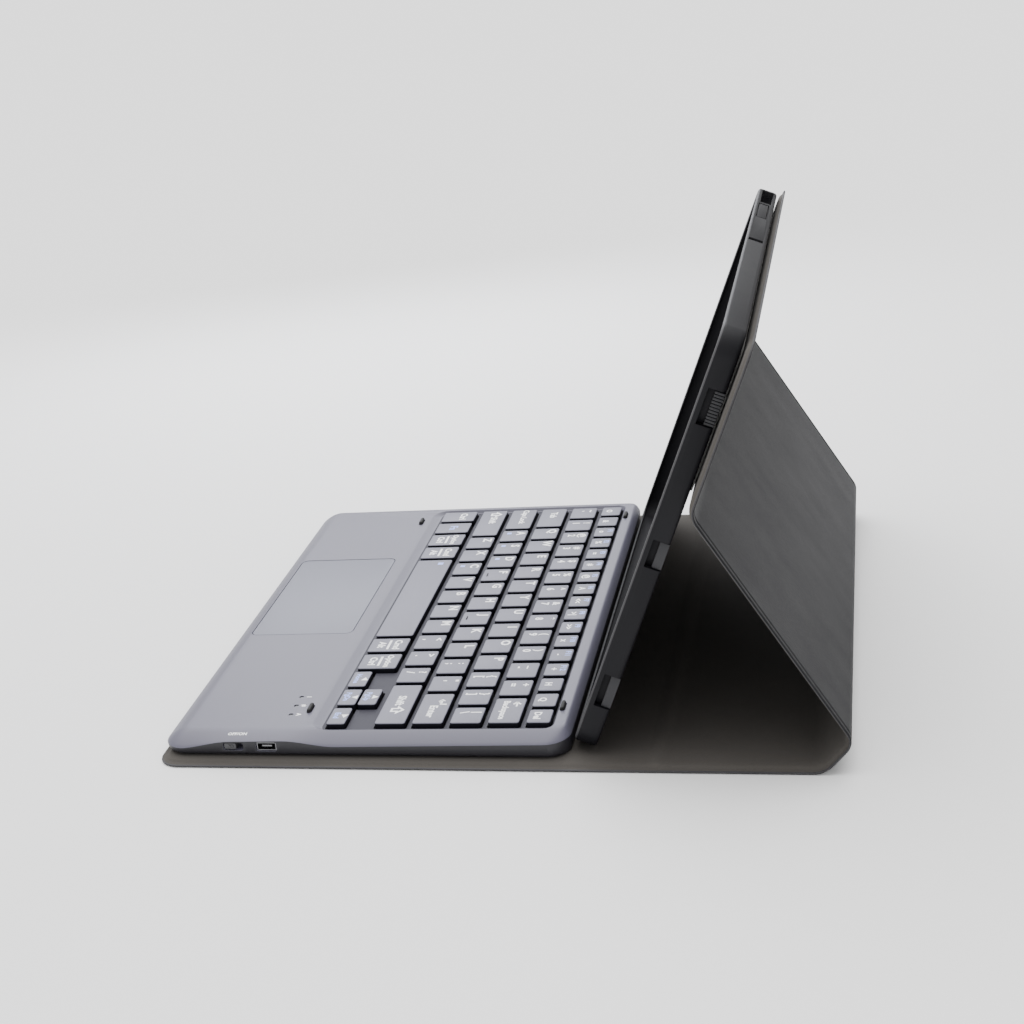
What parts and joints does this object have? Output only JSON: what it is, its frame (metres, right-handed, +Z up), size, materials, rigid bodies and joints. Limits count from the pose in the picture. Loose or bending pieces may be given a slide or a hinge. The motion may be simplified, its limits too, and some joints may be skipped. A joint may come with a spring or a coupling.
{
  "type": "tablet keyboard case",
  "caption": "Folio case for a tablet, open for typing: its cover folds into an easel behind a shallow tablet tray, and a slim detachable keyboard with touchpad lies in front.",
  "frame": {"origin": "bottom centre of the bounding box of the case standing open", "axes": "+X from the typist to the rear, +Y to the typist's left, +Z up"},
  "size_m": [0.2752, 0.259, 0.1702],
  "materials": {
    "leather_skin": "dark grey fine-grained synthetic leather",
    "lining_cloth": "dark warm grey microfibre",
    "board_stock": "pale grey stiffening board",
    "steel": "plain steel",
    "shell_plastic": "dark grey moulded plastic, fine texture",
    "adhesive": "pale double-sided foam tape",
    "case_plastic": "mid grey moulded plastic, satin",
    "pad_plastic": "mid grey, satin",
    "key_plastic": "mid grey tops with printed pale legends",
    "circuit": "green circuit board",
    "aluminium": "thin sheet",
    "membrane_film": "printed film",
    "battery_foil": "foil pouch",
    "rubber": "black soft rubber",
    "light_guide": "milky light guide"
  },
  "bodies": {
    "base": {"front_leather": "leather_skin", "front_board": "board_stock", "front_lining": "lining_cloth", "front_catch_strip": "steel", "rear_catch_strip": "steel"},
    "rear_panel": {"rear_leather": "leather_skin", "rear_board": "board_stock", "rear_lining": "lining_cloth"},
    "fold_strip": {"fold_leather": "leather_skin", "fold_lining": "lining_cloth"},
    "stand": {"stand_leather": "leather_skin", "stand_board": "board_stock", "stand_lining": "lining_cloth"},
    "tablet_side": {"upper_leather": "leather_skin", "upper_board": "board_stock", "upper_lining": "lining_cloth", "adhesive_pad": "adhesive", "tablet_shell": "shell_plastic"},
    "shell_button": {"power_button": "shell_plastic"},
    "keyboard": {"keyboard_top_case": "case_plastic", "keyboard_bottom_case": "case_plastic", "main_board": "circuit", "battery": "battery_foil", "key_plate": "aluminium", "membrane": "membrane_film", "charge_port": "steel", "led_guide": "light_guide", "touchpad_board": "circuit", "front_magnet": "steel", "rear_magnet": "steel", "bumper_front_left": "rubber", "bumper_front_right": "rubber", "bumper_rear_left": "rubber", "bumper_rear_right": "rubber"},
    "touchpad": {"touchpad": "pad_plastic"},
    "power_switch": {"power_switch": "shell_plastic"},
    "function_keys": {"function_keys": "key_plastic"},
    "number_keys": {"number_keys": "key_plastic"},
    "top_letter_keys": {"top_letter_keys": "key_plastic"},
    "home_letter_keys": {"home_letter_keys": "key_plastic"},
    "bottom_letter_keys": {"bottom_letter_keys": "key_plastic"},
    "backspace_key": {"backspace_key": "key_plastic"},
    "tab_key": {"tab_key": "key_plastic"},
    "enter_key": {"enter_key": "key_plastic"},
    "caps_lock_key": {"caps_lock_key": "key_plastic"},
    "right_shift_key": {"right_shift_key": "key_plastic"},
    "left_shift_key": {"left_shift_key": "key_plastic"},
    "control_key": {"control_key": "key_plastic"},
    "fn_key": {"fn_key": "key_plastic"},
    "left_option_key": {"left_option_key": "key_plastic"},
    "left_command_key": {"left_command_key": "key_plastic"},
    "space_bar": {"space_bar": "key_plastic"},
    "right_command_key": {"right_command_key": "key_plastic"},
    "right_option_key": {"right_option_key": "key_plastic"},
    "left_arrow_key": {"left_arrow_key": "key_plastic"},
    "up_arrow_key": {"up_arrow_key": "key_plastic"},
    "down_arrow_key": {"down_arrow_key": "key_plastic"},
    "right_arrow_key": {"right_arrow_key": "key_plastic"}
  },
  "joints": [
    {"name": "spine_fold", "type": "hinge", "parent": "base", "child": "rear_panel", "pos_m": [0.06437, 0, 0.0011], "axis": [0, -1, 0], "range_deg": [-90, 0]},
    {"name": "rear_fold", "type": "hinge", "parent": "rear_panel", "child": "fold_strip", "pos_m": [0.12687, 0, 0.0011], "axis": [0, 1, 0], "range_deg": [0, 48.55]},
    {"name": "stand_fold", "type": "hinge", "parent": "fold_strip", "child": "stand", "pos_m": [0.13747, 0, 0.0131], "axis": [0, 1, 0], "range_deg": [0, 72.88]},
    {"name": "back_crease", "type": "hinge", "parent": "stand", "child": "tablet_side", "pos_m": [0.08206, 0, 0.10378], "axis": [0, -1, 0], "range_deg": [0, 53.24]},
    {"name": "keyboard_lift", "type": "slide", "parent": "base", "child": "keyboard", "axis": [0, 0, 1], "range_m": [0, 0.06]},
    {"name": "shell_button_press", "type": "slide", "parent": "tablet_side", "child": "shell_button", "axis": [-0.3714, 0, -0.9285], "range_m": [0, 0.0005], "stiffness_N_per_m": 1500},
    {"name": "touchpad_press", "type": "slide", "parent": "keyboard", "child": "touchpad", "axis": [0.0157, 0, -0.9999], "range_m": [0, 0.0003], "stiffness_N_per_m": 2500},
    {"name": "power_switch_slide", "type": "slide", "parent": "keyboard", "child": "power_switch", "axis": [1, 0, 0], "range_m": [0, 0.0024]},
    {"name": "function_keys_press", "type": "slide", "parent": "keyboard", "child": "function_keys", "axis": [0.0157, 0, -0.9999], "range_m": [0, 0.0012], "stiffness_N_per_m": 500},
    {"name": "number_keys_press", "type": "slide", "parent": "keyboard", "child": "number_keys", "axis": [0.0157, 0, -0.9999], "range_m": [0, 0.0012], "stiffness_N_per_m": 500},
    {"name": "top_letter_keys_press", "type": "slide", "parent": "keyboard", "child": "top_letter_keys", "axis": [0.0157, 0, -0.9999], "range_m": [0, 0.0012], "stiffness_N_per_m": 500},
    {"name": "home_letter_keys_press", "type": "slide", "parent": "keyboard", "child": "home_letter_keys", "axis": [0.0157, 0, -0.9999], "range_m": [0, 0.0012], "stiffness_N_per_m": 500},
    {"name": "bottom_letter_keys_press", "type": "slide", "parent": "keyboard", "child": "bottom_letter_keys", "axis": [0.0157, 0, -0.9999], "range_m": [0, 0.0012], "stiffness_N_per_m": 500},
    {"name": "backspace_key_press", "type": "slide", "parent": "keyboard", "child": "backspace_key", "axis": [0.0157, 0, -0.9999], "range_m": [0, 0.0012], "stiffness_N_per_m": 500},
    {"name": "tab_key_press", "type": "slide", "parent": "keyboard", "child": "tab_key", "axis": [0.0157, 0, -0.9999], "range_m": [0, 0.0012], "stiffness_N_per_m": 500},
    {"name": "enter_key_press", "type": "slide", "parent": "keyboard", "child": "enter_key", "axis": [0.0157, 0, -0.9999], "range_m": [0, 0.0012], "stiffness_N_per_m": 500},
    {"name": "caps_lock_key_press", "type": "slide", "parent": "keyboard", "child": "caps_lock_key", "axis": [0.0157, 0, -0.9999], "range_m": [0, 0.0012], "stiffness_N_per_m": 500},
    {"name": "right_shift_key_press", "type": "slide", "parent": "keyboard", "child": "right_shift_key", "axis": [0.0157, 0, -0.9999], "range_m": [0, 0.0012], "stiffness_N_per_m": 500},
    {"name": "left_shift_key_press", "type": "slide", "parent": "keyboard", "child": "left_shift_key", "axis": [0.0157, 0, -0.9999], "range_m": [0, 0.0012], "stiffness_N_per_m": 500},
    {"name": "control_key_press", "type": "slide", "parent": "keyboard", "child": "control_key", "axis": [0.0157, 0, -0.9999], "range_m": [0, 0.0012], "stiffness_N_per_m": 500},
    {"name": "fn_key_press", "type": "slide", "parent": "keyboard", "child": "fn_key", "axis": [0.0157, 0, -0.9999], "range_m": [0, 0.0012], "stiffness_N_per_m": 500},
    {"name": "left_option_key_press", "type": "slide", "parent": "keyboard", "child": "left_option_key", "axis": [0.0157, 0, -0.9999], "range_m": [0, 0.0012], "stiffness_N_per_m": 500},
    {"name": "left_command_key_press", "type": "slide", "parent": "keyboard", "child": "left_command_key", "axis": [0.0157, 0, -0.9999], "range_m": [0, 0.0012], "stiffness_N_per_m": 500},
    {"name": "space_bar_press", "type": "slide", "parent": "keyboard", "child": "space_bar", "axis": [0.0157, 0, -0.9999], "range_m": [0, 0.0012], "stiffness_N_per_m": 500},
    {"name": "right_command_key_press", "type": "slide", "parent": "keyboard", "child": "right_command_key", "axis": [0.0157, 0, -0.9999], "range_m": [0, 0.0012], "stiffness_N_per_m": 500},
    {"name": "right_option_key_press", "type": "slide", "parent": "keyboard", "child": "right_option_key", "axis": [0.0157, 0, -0.9999], "range_m": [0, 0.0012], "stiffness_N_per_m": 500},
    {"name": "left_arrow_key_press", "type": "slide", "parent": "keyboard", "child": "left_arrow_key", "axis": [0.0157, 0, -0.9999], "range_m": [0, 0.0012], "stiffness_N_per_m": 500},
    {"name": "up_arrow_key_press", "type": "slide", "parent": "keyboard", "child": "up_arrow_key", "axis": [0.0157, 0, -0.9999], "range_m": [0, 0.0012], "stiffness_N_per_m": 500},
    {"name": "down_arrow_key_press", "type": "slide", "parent": "keyboard", "child": "down_arrow_key", "axis": [0.0157, 0, -0.9999], "range_m": [0, 0.0012], "stiffness_N_per_m": 500},
    {"name": "right_arrow_key_press", "type": "slide", "parent": "keyboard", "child": "right_arrow_key", "axis": [0.0157, 0, -0.9999], "range_m": [0, 0.0012], "stiffness_N_per_m": 500}
  ],
  "couplings": [
    {"joint": "rear_fold", "follows": "stand_fold", "ratio": 0.66605},
    {"joint": "back_crease", "follows": "stand_fold", "ratio": 0.73032}
  ]
}
